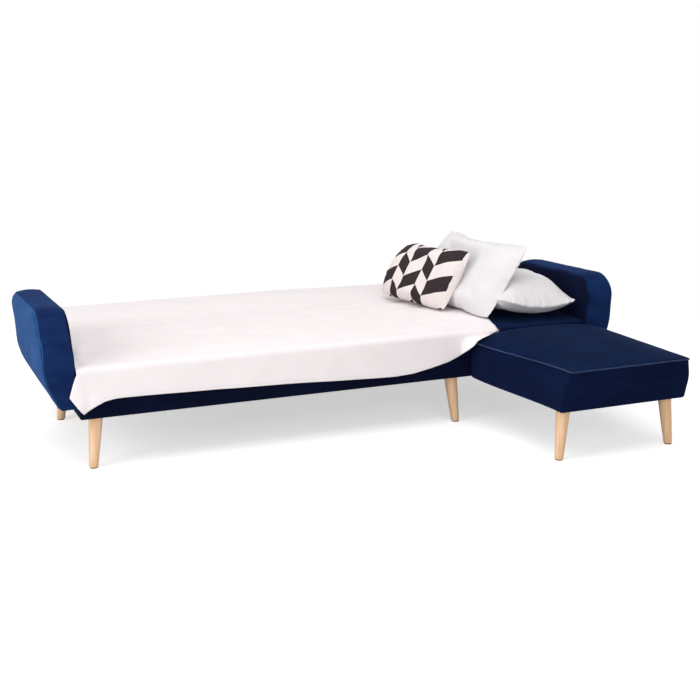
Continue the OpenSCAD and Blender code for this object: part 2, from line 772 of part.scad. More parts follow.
module leg_front_left() {
    turned_leg(base_legs[0]);
}
module leg_front_middle() {
    turned_leg(base_legs[1]);
}
module leg_front_right() {
    turned_leg(base_legs[2]);
}
module leg_rear_left() {
    turned_leg(base_legs[3]);
}
module leg_rear_middle() {
    turned_leg(base_legs[4]);
}
module leg_rear_right() {
    turned_leg(base_legs[5]);
}
module chaise_leg_left() {
    turned_leg(chaise_legs[0]);
}
module chaise_leg_right() {
    turned_leg(chaise_legs[1]);
}
module leg_plates() {
    for (l = base_legs) leg_plate(l);
}
module leg_bolts() {
    for (l = base_legs) leg_bolt(l);
}
module leg_glides() {
    for (l = base_legs) leg_glide(l);
}
module chaise_leg_plates() {
    for (l = chaise_legs) leg_plate(l);
}
module chaise_leg_bolts() {
    for (l = chaise_legs) leg_bolt(l);
}
module chaise_leg_glides() {
    for (l = chaise_legs) leg_glide(l);
}

// ---- Bedding ----

// Thin sheet over the seat and the lowered back: front drop, top and rear drop
module bed_sheet() {
    x0 = sheet_x0;
    x1 = sheet_x1;
    drop_z = leg_h + 64;
    color(white) place() {
        along_x(x0 + 8, x1 - 20, [[-sheet_y - sheet_t, sheet_z], [-sheet_y, sheet_z],
            [back_end + sheet_y, sheet_z], [back_end + sheet_y, sheet_z - sheet_rear_drop],
            [back_end + sheet_y + sheet_t, sheet_z - sheet_rear_drop],
            [back_end + sheet_y + sheet_t, sheet_z + sheet_t],
            [-sheet_y - sheet_t, sheet_z + sheet_t]]);
        along_y(-sheet_y - sheet_t, -sheet_y, concat(
            [[x0 + 8, sheet_z], [x0, drop_z - 40], [x0 + 60, drop_z + 15]],
            [[x0 + sheet_w * 0.5, drop_z + 6], [x0 + sheet_w * 0.76, drop_z - 24]],
            [for (t = [0 : 6]) [x1 - sheet_w * 0.24 + sheet_w * 0.2 * t / 6,
                drop_z - 24 + 130 * pow(t / 6, 1.6)]],
            [[x1 - 20, sheet_z]]));
    }
}

// Pillow outline: a lens in both sections with pinched corners
module pillow_solid(l, w, t) {
    n = 10;
    rows = [for (j = [0 : n]) for (i = [0 : n])
        let (u = 2 * i / n - 1, v = 2 * j / n - 1)
        [u * l / 2 * (1 - 0.05 * (1 - v * v)), v * w / 2 * (1 - 0.05 * (1 - u * u)),
            t / 2 * pow(max(0, (1 - pow(abs(u), 2.4)) * (1 - pow(abs(v), 2.4))), 0.55)]];
    m = n + 1;
    edge = function(k) (k % m == 0 || k % m == n || k < m || k >= m * n);
    low = [for (k = [0 : len(rows) - 1]) edge(k)
        ? [rows[k][0], rows[k][1], -1.5] : [rows[k][0], rows[k][1], -rows[k][2] - 1.5]];
    high = [for (p = rows) [p[0], p[1], p[2] + 1.5]];
    top = [for (j = [0 : n - 1]) for (i = [0 : n - 1])
        [j * m + i, (j + 1) * m + i, (j + 1) * m + i + 1, j * m + i + 1]];
    count = len(rows);
    under = [for (f = top) [f[3] + count, f[2] + count, f[1] + count, f[0] + count]];
    ring = concat([for (i = [0 : n - 1]) i], [for (j = [0 : n - 1]) j * m + n],
        [for (i = [n : -1 : 1]) n * m + i], [for (j = [n : -1 : 1]) j * m]);
    sides = [for (k = [0 : len(ring) - 1])
        [ring[k], ring[(k + 1) % len(ring)], ring[(k + 1) % len(ring)] + count, ring[k] + count]];
    polyhedron(concat(high, low), concat(top, under, sides), convexity = 4);
}

// Pillow that stands on its long side and leans to the right
module standing_pillow() {
    color(white) place()
        translate([standing_x, pillow_y, sheet_z + pillow_w / 2 * sin(pillow_lean) + standing_lift])
            rotate([0, 0, pillow_turn]) rotate([pillow_lean, 0, 0])
                pillow_solid(pillow_l, pillow_w, pillow_t);
}

// Pillow that lies in the corner by the right arm
module lying_pillow() {
    color(white) place() translate([lying_x, lying_y, seat_top + lying_t / 2 + lying_lift])
        rotate([0, lying_tilt, 0]) rotate([0, 0, 90]) pillow_solid(lying_l, lying_w, lying_t);
}

// Small cushion that leans on the standing pillow
module patterned_cushion() {
    color("#8a8487") place()
        translate([cushion_x, cushion_y, sheet_z + cushion_w / 2 * sin(cushion_lean) + 4])
            rotate([0, 0, cushion_turn]) rotate([cushion_lean, 0, 0])
                pillow_solid(cushion_l, cushion_w, cushion_t);
}

front_rail();
rear_rail();
end_rails();
cross_rails();
leg_blocks();
seat_webbing();
seat_foam();
seat_cover();
base_cover();
base_dust_cover();
leg_front_left();
leg_front_middle();
leg_front_right();
leg_rear_left();
leg_rear_middle();
leg_rear_right();
leg_plates();
leg_bolts();
leg_glides();
left_arm_frame();
left_arm_foam();
left_arm_cover();
left_arm_bolts();
right_arm_frame();
right_arm_foam();
right_arm_cover();
right_arm_bolts();
hinge_brackets();
hinge_pins();
back_buffers();
chaise_sockets();
back_long_rails();
back_end_rails();
back_cross_rails();
back_webbing();
back_foam();
back_cover();
back_lining();
hinge_back_plates();
chaise_front_rail();
chaise_rear_rail();
chaise_side_rails();
chaise_leg_blocks();
chaise_webbing();
chaise_foam();
chaise_cover();
chaise_piping();
chaise_dust_cover();
chaise_hooks();
chaise_leg_left();
chaise_leg_right();
chaise_leg_plates();
chaise_leg_bolts();
chaise_leg_glides();
bed_sheet();
standing_pillow();
lying_pillow();
patterned_cushion();
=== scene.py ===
# Corner futon sofa bed, lowered as a bed and made up: the dressed model.
import math

import bpy
import numpy as np
from mathutils import Matrix, Vector, noise


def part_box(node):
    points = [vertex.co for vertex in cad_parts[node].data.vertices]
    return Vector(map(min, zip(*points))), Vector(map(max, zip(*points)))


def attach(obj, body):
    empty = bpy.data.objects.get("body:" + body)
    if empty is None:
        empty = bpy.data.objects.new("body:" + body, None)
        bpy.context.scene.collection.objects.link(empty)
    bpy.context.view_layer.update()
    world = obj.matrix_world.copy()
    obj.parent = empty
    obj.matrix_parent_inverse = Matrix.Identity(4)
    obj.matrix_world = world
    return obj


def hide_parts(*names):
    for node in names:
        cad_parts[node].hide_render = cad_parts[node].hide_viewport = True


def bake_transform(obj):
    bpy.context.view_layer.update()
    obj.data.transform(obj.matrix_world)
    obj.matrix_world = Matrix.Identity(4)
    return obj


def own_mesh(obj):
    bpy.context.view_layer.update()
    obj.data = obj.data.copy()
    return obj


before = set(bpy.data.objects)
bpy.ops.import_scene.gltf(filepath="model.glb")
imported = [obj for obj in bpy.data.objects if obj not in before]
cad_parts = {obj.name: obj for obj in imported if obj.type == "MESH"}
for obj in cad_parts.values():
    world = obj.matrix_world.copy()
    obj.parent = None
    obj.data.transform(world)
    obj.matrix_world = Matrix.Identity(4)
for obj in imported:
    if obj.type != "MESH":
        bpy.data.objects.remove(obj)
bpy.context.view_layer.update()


# ---- Camera ----
# A 63 mm lens at standing height, off the left front corner, looking slightly down
# across the bed towards the chaise.
def new_object(name, data):
    thing = bpy.data.objects.new(name, data)
    bpy.context.scene.collection.objects.link(thing)
    return thing


camera = new_object("camera", bpy.data.cameras.new("camera"))
camera.location = (-2.010, -4.933, 1.630)
camera.rotation_euler = (math.radians(90 - 13.62), 0, math.radians(-23.14))
camera.data.lens = 62.74
camera.data.sensor_width = 36
bpy.context.scene.camera = camera


# ---- Wooden frame ----
# Sawn pine rails and blocks, and a sanded plywood board inside each arm. They keep
# their CAD shapes and get a plain unfinished wood with straight grain.
def srgb(code):
    """An sRGB hex colour as linear RGBA."""
    parts = [int(code[i:i + 2], 16) / 255 for i in (1, 3, 5)]
    return [c / 12.92 if c <= 0.04045 else ((c + 0.055) / 1.055) ** 2.4 for c in parts] + [1]


def add(owner, kind, links=(), **settings):
    """Adds a shader node to a material or a world, sets its inputs and properties, and links
    (output, input) pairs to it."""
    node = owner.node_tree.nodes.new("ShaderNode" + kind)
    for name, value in settings.items():
        key = name.replace("_", " ")
        socket = next((s for s in node.inputs if s.name.lower() == key), None)
        if socket is None:
            setattr(node, name, value)
        else:
            socket.default_value = value
    for source, target in links:
        owner.node_tree.links.new(source, node.inputs[target])
    return node


def new_material(name):
    material = bpy.data.materials.new(name)
    material.use_nodes = True
    material.node_tree.nodes.clear()
    return material


def output(material, shader):
    add(material, "OutputMaterial", [(shader.outputs[0], "Surface")])
    return material


def mottle(material, scale, stretch=None, **settings):
    """Noise in the piece's own coordinates, or in coordinates scaled by stretch."""
    place = add(material, "TexCoord").outputs["Object"]
    if stretch:
        place = add(material, "Mapping", [(place, "Vector")], scale=stretch).outputs[0]
    return add(material, "TexNoise", [(place, "Vector")], scale=scale, **settings).outputs["Fac"]


def ramp(material, source, stops):
    """The colour of a ramp through (position, hex) stops, fed by a value."""
    node = add(material, "ValToRGB", [(source, "Fac")])
    while len(node.color_ramp.elements) < len(stops):
        node.color_ramp.elements.new(0.5)
    for element, (position, code) in zip(node.color_ramp.elements, stops):
        element.position = position
        element.color = srgb(code)
    return node.outputs["Color"]


def bumped(material, height, strength, distance, *under):
    """The normals that a height gives, on top of any normals under it."""
    links = [(height, "Height")] + [(normal, "Normal") for normal in under]
    return add(material, "Bump", links, strength=strength, distance=distance).outputs["Normal"]


def surface(material, colour, normal, links=(), **settings):
    """Ends a material in a principled shader with this colour and these normals."""
    return output(material, add(material, "BsdfPrincipled",
                                [(colour, "Base Color"), (normal, "Normal"), *links], **settings))


def wood(name, dark, light, grain_mm, direction, roughness):
    """Straight-grained wood: streaks stretched along one axis, with fine pores in the bump."""
    m = new_material(name)
    stretch = [1000 / grain_mm] * 3
    stretch[direction] /= 18
    streak = mottle(m, 1.0, stretch, detail=5.0, roughness=0.6, distortion=0.35)
    return surface(m, ramp(m, streak, [(0.3, dark), (0.72, light)]), bumped(m, streak, 0.12, 0.0006),
                   roughness=roughness, ior=1.5)


def dress(material, *names):
    """Gives CAD nodes that keep their shape a finish."""
    for name in names:
        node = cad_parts[name]
        node.data.materials.clear()
        node.data.materials.append(material)


pine = wood("sawn_pine", "#b98f5c", "#dcbc88", 7, 0, 0.72)
plywood = wood("sanded_plywood", "#b08a58", "#d3b284", 5, 1, 0.66)
dress(pine, "front_rail", "rear_rail", "end_rails", "cross_rails", "leg_blocks",
      "back_long_rails", "back_end_rails", "back_cross_rails",
      "chaise_front_rail", "chaise_rear_rail", "chaise_side_rails", "chaise_leg_blocks")
dress(plywood, "left_arm_frame", "right_arm_frame")


# ---- Steel fittings ----
# Zinc-plated pressings and bolts: leg plates, hinge brackets and pins, chaise hooks and
# their sockets. Zinc is a slightly blue, softly mottled grey metal.
def zinc(name):
    m = new_material(name)
    spots = mottle(m, 160.0, detail=3.0, roughness=0.6)
    rough = add(m, "MapRange", [(spots, "Value")], to_min=0.28, to_max=0.42)
    return surface(m, ramp(m, spots, [(0.35, "#9aa0a6"), (0.7, "#c3c7ca")]),
                   bumped(m, spots, 0.05, 0.0002), [(rough.outputs[0], "Roughness")], metallic=1.0)


dress(zinc("zinc_plated_steel"), "leg_plates", "leg_bolts", "left_arm_bolts", "right_arm_bolts",
      "hinge_brackets", "hinge_pins", "hinge_back_plates", "chaise_sockets", "chaise_hooks",
      "chaise_leg_plates", "chaise_leg_bolts")


# ---- Foam, webbing, linings and small soft trim ----
# Cream polyurethane foam, shaped with its covers further down, and elastic webbing, black
# non-woven dust covers, felt glides and rubber buffers, which keep their CAD shapes.
def cellular(name, dark, light, cell_mm, roughness, depth):
    """A matt material with small cells or fibres in its colour and bump."""
    m = new_material(name)
    cells = mottle(m, 1000 / cell_mm, detail=4.0, roughness=0.7)
    return surface(m, ramp(m, cells, [(0.3, dark), (0.7, light)]), bumped(m, cells, 0.5, depth),
                   roughness=roughness, specular_ior_level=0.2)


foam = cellular("polyurethane_foam", "#cfc3a4", "#ece3cb", 3, 0.95, 0.0008)
dress(cellular("elastic_webbing", "#4c463d", "#7a7164", 2, 0.9, 0.0006),
      "seat_webbing", "back_webbing", "chaise_webbing")
dress(cellular("non_woven_lining", "#101112", "#26272a", 1.5, 0.95, 0.0003),
      "base_dust_cover", "back_lining", "chaise_dust_cover")
dress(cellular("pressed_felt", "#151515", "#2b2a29", 1.2, 0.98, 0.0004),
      "leg_glides", "chaise_leg_glides")
dress(cellular("moulded_rubber", "#0f0f0f", "#1b1b1b", 4, 0.6, 0.0001), "back_buffers")


# ---- Legs ----
# Turned beech legs under clear satin lacquer: pale, warm, with short dark flecks along
# the grain. Each leans outwards and tapers to an eased foot.
def mesh_piece(name, points, faces, material, smooth=True):
    mesh = bpy.data.meshes.new(name)
    mesh.from_pydata([tuple(p) for p in points], [], faces)
    mesh.validate()
    mesh.polygons.foreach_set("use_smooth", [smooth] * len(mesh.polygons))
    mesh.materials.append(material)
    return new_object(name, mesh)


def settle(piece, body, slot, *nodes):
    """Rides a finished piece on its body in place of its CAD nodes."""
    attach(piece, body)
    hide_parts(*nodes)
    return piece


def rings(name, loops, material):
    """A closed skin through loops of equal length, with a fan over each end."""
    count = len(loops[0])
    points = [p for loop in loops for p in loop]
    faces = []
    for i in range(len(loops) - 1):
        for k in range(count):
            a, b = i * count + k, i * count + (k + 1) % count
            faces.append((a, b, b + count, a + count))
    for loop, start, order in ((loops[0], 0, -1), (loops[-1], len(points) - count, 1)):
        middle = len(points)
        points.append(tuple(np.mean(np.array(loop, float), axis=0)))
        for k in range(count):
            pair = (start + k, start + (k + 1) % count)
            faces.append((pair[0], pair[1], middle)[::order])
    return mesh_piece(name, points, faces, material)


def tinted(material, base, over, factor):
    """The colour base multiplied by the colour over, as far as factor says."""
    return add(material, "Mix", [(base, 6), (over, 7)], data_type="RGBA",
               blend_type="MULTIPLY", factor=factor).outputs[2]


def beech_wood():
    m = new_material("lacquered_beech")
    growth = mottle(m, 1.0, (60, 60, 4), detail=4.0, roughness=0.55, distortion=0.6)
    flecks = mottle(m, 1.0, (900, 900, 90), detail=2.0)
    pale = ramp(m, growth, [(0.28, "#dcae7c"), (0.5, "#eabf94"), (0.75, "#f4d2ac")])
    dark = ramp(m, flecks, [(0.62, "#ffffff"), (0.78, "#b98a60")])
    return surface(m, tinted(m, pale, dark, 0.5), bumped(m, flecks, 0.08, 0.0003),
                   roughness=0.42, coat_weight=0.25, coat_roughness=0.3, ior=1.5)


def turned_leg(name, node, body):
    """Level rings of the turned profile, from the CAD leg's foot to its top."""
    co = np.array([v.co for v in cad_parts[node].data.vertices])
    low, high = co[:, 2].min(), co[:, 2].max()
    ends = []
    for level in (low, high):
        rim = co[np.abs(co[:, 2] - level) < 1e-5]
        ends.append(((rim.min(0) + rim.max(0)) / 2, np.ptp(rim[:, 0]) / 2))
    (foot, foot_r), (top, top_r) = ends
    ease, bulge, height = 0.004, 0.0006, high - low
    steps = [(0.0, foot_r - ease), (0.12 * ease, foot_r - 0.45 * ease),
             (0.5 * ease, foot_r - 0.12 * ease), (ease, foot_r)]
    for i in range(1, 25):
        t = i / 24
        steps.append((ease + (height - ease) * t,
                      foot_r + (top_r - foot_r) * t + bulge * math.sin(math.pi * t)))
    loops = []
    for up, r in steps:
        centre = foot + (top - foot) * up / height
        loops.append([(centre[0] + r * math.cos(a), centre[1] + r * math.sin(a), low + up)
                      for a in np.linspace(0, 2 * math.pi, 56, endpoint=False)])
    return settle(rings(name, loops, beech), body, "beech", node)


beech = beech_wood()
for spot in ("front_left", "front_middle", "front_right", "rear_left", "rear_middle", "rear_right"):
    turned_leg("turned_leg_" + spot, "leg_" + spot, "base")
for spot in ("left", "right"):
    turned_leg("turned_chaise_leg_" + spot, "chaise_leg_" + spot, "chaise")


# ---- Velvet band round the base ----
# Short-pile navy velvet stretched over the rails and stapled underneath. The pile
# lightens where it is seen edge on, and handling leaves slow light and dark strokes.
# The band wears a darker, duller copy of the velvet: painted shade under the seat's front.
def velvet_cloth(name, deep, lifted, edge, sheen):
    m = new_material(name)
    brush = mottle(m, 1.0, (5, 7, 11), detail=5.0, roughness=0.55, distortion=0.8)
    pile = mottle(m, 900.0, detail=2.0, roughness=0.8)
    strokes = ramp(m, brush, [(0.22, deep), (0.78, lifted)])
    grain = ramp(m, pile, [(0.25, "#b9b9b9"), (0.75, "#ffffff")])
    return surface(m, tinted(m, strokes, grain, 0.8), bumped(m, pile, 0.35, 0.0006),
                   roughness=0.9, specular_ior_level=0.05, sheen_weight=sheen, sheen_roughness=0.38,
                   sheen_tint=srgb(edge))


def rounded_box(name, low, high, r, cell, material, shape, top=None):
    """A box with rounded edges and an even grid of faces. shape moves each point (x, y, z).
    top is the material of the faces that look up: on the cushions a darker copy of the
    velvet, painted shade."""
    low, high = np.array(low, float), np.array(high, float)
    lines = []
    for a in range(3):
        count = max(2, round((high[a] - low[a] - 2 * r) / cell) + 1)
        inner = np.linspace(low[a] + r, high[a] - r, count)
        edge = r * np.array([0, 0.3, 0.6, 0.82])
        lines.append(np.concatenate([low[a] + edge, inner, high[a] - edge[::-1]]))
    points, faces, index = [], [], {}

    def corner(p):
        key = tuple(np.round(p, 6))
        if key not in index:
            index[key] = len(points)
            points.append(p)
        return index[key]

    for a in range(3):
        b, c = (a + 1) % 3, (a + 2) % 3
        for side in (low[a], high[a]):
            for i in range(len(lines[b]) - 1):
                for j in range(len(lines[c]) - 1):
                    quad = []
                    for u, v in ((i, j), (i + 1, j), (i + 1, j + 1), (i, j + 1)):
                        p = np.zeros(3)
                        p[a], p[b], p[c] = side, lines[b][u], lines[c][v]
                        quad.append(corner(p))
                    faces.append(quad if side == high[a] else quad[::-1])
    points = np.array(points)
    core = np.clip(points, low + r, high - r)
    out = points - core
    length = np.linalg.norm(out, axis=1, keepdims=True)
    points = core + out / np.maximum(length, 1e-9) * np.minimum(length, r)
    skin = mesh_piece(name, [shape(*p) for p in points], faces, material)
    return second_cloth(skin, top, lambda normal: normal.z > 0.75)


def second_cloth(piece, material, belongs):
    """Gives the faces whose normal belongs a material of their own."""
    if material:
        piece.data.materials.append(material)
        for face in piece.data.polygons:
            if belongs(face.normal):
                face.material_index = len(piece.data.materials) - 1
    return piece


def ripple(x, y, z, scale, seed):
    """Slow seeded noise from -1 to 1."""
    return noise.noise(Vector((x * scale + seed, y * scale - seed, z * scale + 2 * seed)))


velvet = velvet_cloth("navy_velvet", "#060f2a", "#0c1b42", "#5f8fdc", 0.14)
# A darker, duller copy of the navy velvet for the base band: painted shade under the seat's front.
velvet_band_painted_shade = velvet_cloth("navy_velvet_rail_band_painted_shade", "#070b1f", "#0c1431", "#5f7fc0", 0.08)


def base_band():
    """Front, ends and rear of the base: one stretched skin, lower behind the seat."""
    low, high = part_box("base_cover")
    step_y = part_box("seat_cover")[1].y
    ledge_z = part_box("back_buffers")[0].z
    r, cell = 0.007, 0.03

    def stretch(x, y, z):
        top = high.z if y < step_y - 0.001 else ledge_z
        t = (z - low.z) / (high.z - low.z)
        z = low.z + t * (top - low.z)
        pull = 0.0011 * ripple(x, y, z, 14, 3) * math.sin(math.pi * min(1, max(0, t)))
        return (x, y + (pull if y < low.y + 0.02 else 0), z)

    return rounded_box("base_velvet_band", low, high, r, cell, velvet_band_painted_shade, stretch)


settle(base_band(), "base", "navy_velvet", "base_cover")


# ---- Seat cushion cover ----
# A tight velvet box cushion the length of the seat, lightly crowned on top. Its front
# wall swells a little over the base, and its seams lie in the rounded edges. Its top
# wears a darker, duller copy of the velvet: painted shade.
def smooth(t):
    t = min(1.0, max(0.0, t))
    return t * t * (3 - 2 * t)


# A darker, duller copy of the navy velvet for the faces that look up on the seat and chaise: painted
# shade on their tops.
velvet_top_painted_shade = velvet_cloth("navy_velvet_top_painted_shade", "#04102b", "#0a2149", "#5f8fdc", 0.05)


def seat_cushion(name, material, top_painted_shade_cloth, inset=0.0):
    """The cushion's skin. inset shrinks it, for the foam under the cloth."""
    low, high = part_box("seat_cover")
    crown, r, cell = 0.010, 0.010, 0.018
    top, skin = high.z - crown, Vector([inset] * 3)

    def stuff(x, y, z):
        t = (z - low.z) / (top - low.z)
        across = 1 - abs(2 * (y - low.y) / (high.y - low.y) - 1) ** 4
        along = 1 - abs(2 * (x - low.x) / (high.x - low.x) - 1) ** 10
        swell = math.sin(math.pi * min(1, max(0, t)))
        z += (crown * across * along + 0.0012 * ripple(x, y, 0, 7, 11) * across) * smooth(t * 2 - 1)
        if y < low.y + 0.012:
            y -= swell * (0.0035 + 0.0012 * ripple(x, 0, z, 9, 5))
        return (x, y, z)

    return rounded_box(name, low + skin, Vector((high.x, high.y, top)) - skin, r, cell, material,
                       stuff, top_painted_shade_cloth)


settle(seat_cushion("seat_cushion_cover", velvet, velvet_top_painted_shade), "base", "navy_velvet",
                 "seat_cover")
settle(seat_cushion("seat_cushion_foam", foam, None, 0.004), "base", "foam", "seat_foam")


# ---- Padded arms ----
# Foam over a plywood board under velvet: an inner and an outer panel sewn to one boxing strip
# that runs up the front, over the top and down the rear. The arm leans outwards, and its outer
# panel curves in to a narrow foot, like a boat's side. Its three cloths are copies of one navy
# velvet in painted light: the strip lighter, the outer panels lighter still as a painted
# highlight, the inner panels darker as painted shade.
def arc(cy, cz, r, start, end, count):
    """Points along an arc, its ends in degrees."""
    return [(cy + r * math.cos(math.radians(a)), cz + r * math.sin(math.radians(a)))
            for a in np.linspace(start, end, count)]


def even(points, count, closed=True):
    """Points spread evenly along a polyline."""
    points = np.array(points, float)
    if closed:
        points = np.vstack([points, points[:1]])
    run = np.concatenate([[0], np.cumsum(np.linalg.norm(np.diff(points, axis=0), axis=1))])
    at = np.linspace(0, run[-1], count, endpoint=not closed)
    return np.stack([np.interp(at, run, points[:, k]) for k in range(points.shape[1])], axis=1)


def boxed(name, outline, left, right, radii, material, puff, shape, count=240, stations=16,
          crown=0.004):
    """A stuffed block: a boxing strip along a closed (y, z) outline between two end panels.
    left and right give the panels' x at height z, and radii the edge radius there. puff is how
    far each panel swells, and shape moves each point."""
    edge = even(outline, count)
    tangent = np.roll(edge, -1, axis=0) - np.roll(edge, 1, axis=0)
    tangent /= np.linalg.norm(tangent, axis=1, keepdims=True)
    normal = np.stack([tangent[:, 1], -tangent[:, 0]], axis=1)
    centre = (edge.min(0) + edge.max(0)) / 2
    inside = [0.97, 0.86, 0.74, 0.62, 0.51, 0.41, 0.32, 0.24, 0.17, 0.11, 0.06, 0.025]
    under = np.clip(-normal[:, 1], 0, 1)
    loops = []

    def ring(side, f=0.0, turn=None, u=None):
        loop = []
        for k in range(count):
            z = edge[k, 1]
            r = radii(z)[side > 0]
            face = right if side > 0 else left
            if u is not None:
                a, b = left(z) + radii(z)[0], right(z) - radii(z)[1]
                swell = crown * (1 - under[k]) * (1 - (2 * u - 1) ** 2)
                y, z2 = edge[k] + normal[k] * swell
                loop.append((a + (b - a) * u, y, z2))
            elif turn is not None:
                seam = 0.0012 * math.exp(-((turn - 0.5) / 0.16) ** 2)
                y, z2 = edge[k] - normal[k] * (r * (1 - math.cos(turn * math.pi / 2)) + seam)
                out = face(z) - side * r
                loop.append((out + side * (r * math.sin(turn * math.pi / 2) - seam), y, z2))
            else:
                rim = edge[k] - normal[k] * r
                y, z2 = rim + (centre - rim) * f
                depth = f * np.linalg.norm(rim - centre)
                fill = puff[side > 0] * (1 - (1 - min(1, depth / 0.11)) ** 2)
                fill *= smooth((z2 - edge[:, 1].min()) / 0.12)
                loop.append((face(z2) + side * fill, y, z2))
        loops.append([shape(*p) for p in loop])

    for f in inside:
        ring(-1, f=f)
    for turn in np.linspace(1, 0, 9):
        ring(-1, turn=turn)
    for u in np.linspace(0, 1, stations)[1:-1]:
        ring(0, u=u)
    for turn in np.linspace(0, 1, 9):
        ring(1, turn=turn)
    for f in inside[::-1]:
        ring(1, f=f)
    return rings(name, loops, material)


def arm(side, name, material, inset=0.0):
    """One arm block, mirrored by side. inset shrinks it, for the foam under the cloth."""
    low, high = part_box("right_arm_cover")
    foot, head, lean, curve = 0.074, high.x - low.x, 0.014, 0.185
    front_r, rear_r, fall, tuck = 0.116 - inset, 0.090 - inset, 0.016, 0.008
    y0, y1, top = low.y + inset, high.y - inset, high.z - inset
    outline = ([(y0 + tuck, low.z), (y1 - tuck, low.z)]
               + arc(y1 - tuck, low.z + tuck, tuck, -80, 0, 4)
               + arc(y1 - rear_r, top - fall - rear_r, rear_r, 0, 90, 16)
               + arc(y0 + front_r, top - front_r, front_r, 90, 180, 18)
               + arc(y0 + tuck, low.z + tuck, tuck, 180, 260, 4))

    def inner(z):
        return low.x + inset + lean * (z - low.z) / (high.z - low.z) + 0.004 * smooth((z - 0.45) / 0.1)

    def outer(z):
        t = (z - low.z) / curve
        if t < 1:
            return low.x - inset + foot + (head * 0.9 - foot) * math.sin(math.pi / 2 * max(0, t))
        return low.x - inset + head * (0.9 + 0.1 * smooth((z - low.z - curve) / 0.17))

    def radii(z):
        rise = smooth((z - 0.44) / 0.2)
        return (0.009 + 0.013 * rise, 0.011 + 0.021 * rise)

    def dent(x, y, z):
        rise = smooth((z - 0.40) / 0.22)
        if side > 0:
            z -= rise * (0.020 + 0.006 * smooth((y - y0) / 0.14))
            x += 0.013 * smooth((x - low.x) / head) * smooth((z - low.z) / 0.1)
        else:
            z += 0.007 * rise
        if inset:
            return (side * x, y, z)
        pull = ripple(x, y, z, 9, 20 + side) + 0.5 * ripple(x, y, z, 23, 31)
        return (side * (x + 0.0014 * pull * smooth((x - low.x - 0.02) / 0.04)), y, z + 0.0008 * pull)

    block = boxed(name, outline, inner, outer, radii, material, (0.003, 0.006), dent)
    if side < 0:
        block.data.flip_normals()
    return block


# Copies of the navy velvet in painted light: the boxing strip lighter, the outer panels lighter still
# as a painted highlight, the inner panels darker as painted shade.
velvet_strip_painted_light = velvet_cloth("navy_velvet_boxing_painted_light", "#10204a", "#1a386c", "#6f93d8", 0.12)
velvet_outer_painted_highlight = velvet_cloth("navy_velvet_outer_panel_painted_highlight", "#1d4172", "#325a96", "#6fa0ea", 0.2)
velvet_inner_painted_shade = velvet_cloth("navy_velvet_inner_panel_painted_shade", "#090f26", "#10193a", "#5f7fc0", 0.1)
for side, word in ((-1, "left"), (1, "right")):
    cover = second_cloth(arm(side, word + "_arm_upholstery", velvet_strip_painted_light), velvet_outer_painted_highlight,
                         lambda normal: normal.x * side > 0.62)
    cover = second_cloth(cover, velvet_inner_painted_shade, lambda normal: normal.x * side < -0.62)
    settle(cover, "base", "navy_velvet", word + "_arm_cover")
    settle(arm(side, word + "_arm_padding", foam, 0.004), "base", "foam", word + "_arm_foam")


# ---- Backrest cover ----
# One velvet skin round the folding back: round where it turns on its hinge, eased at its
# far edge, and closed by a flat boxing panel at each end.
def backrest(name, material, foot, inset=0.0):
    """The backrest's skin down to foot. inset shrinks it, for the foam under the cloth."""
    low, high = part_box("back_cover")
    pin_low, pin_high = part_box("hinge_pins")
    hinge_y, hinge_z = (pin_low.y + pin_high.y) / 2, (pin_low.z + pin_high.z) / 2
    far, top, under, edge_r = high.y - inset, high.z - inset, low.z + 0.0012, 0.042 - inset
    outline = ([(hinge_y, under), (far - edge_r, under)]
               + arc(far - edge_r, low.z + edge_r, edge_r, -80, 0, 9)
               + arc(far - edge_r, top - edge_r, edge_r, 0, 90, 10)
               + arc(hinge_y, hinge_z, top - hinge_z, 90, 265, 26))
    outline = [(y, max(z, foot)) for y, z in outline]

    def breathe(x, y, z):
        rise = 0.005 * smooth((y - 0.55) / 0.2) * (1 - smooth(x / 0.9))
        return (x, y, z + (rise + 0.0012 * ripple(x, y, z, 6, 41)) * smooth((z - hinge_z) / 0.05))

    return boxed(name, outline, lambda z: low.x + inset, lambda z: high.x - inset,
                 lambda z: (0.012, 0.012), material, (0.004, 0.004), breathe, count=200,
                 stations=90, crown=0.0)


settle(backrest("backrest_cover", velvet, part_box("back_cover")[0].z), "back",
                 "navy_velvet", "back_cover")
settle(backrest("backrest_foam", foam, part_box("back_foam")[0].z, 0.005), "back", "foam", "back_foam")


# ---- Chaise cushion cover ----
# A velvet box on its own frame: four boxing walls with softly filled middles and a crowned
# top panel, sewn together over a cord of the same velvet. The top panel wears the darker,
# duller top velvet: painted shade.
chaise_crown = 0.048


def chaise_lean(x, y, z):
    """The stuffing's drift: the left side spreads at the rear and comes in at the top in
    front, and the right side draws in below."""
    low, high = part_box("chaise_cover")
    across = (x - low.x) / (high.x - low.x)
    front = 1 - smooth((y - low.y) / (high.y - low.y))
    rise = min(1, max(0, (z - low.z) / (high.z - chaise_crown - low.z)))
    x += (1 - smooth(across * 1.4)) * ((0.004 + 0.042 * rise ** 2) * front - 0.055 * (1 - front))
    return x - 0.010 * smooth(across) * (1 - smooth(rise * 1.5))


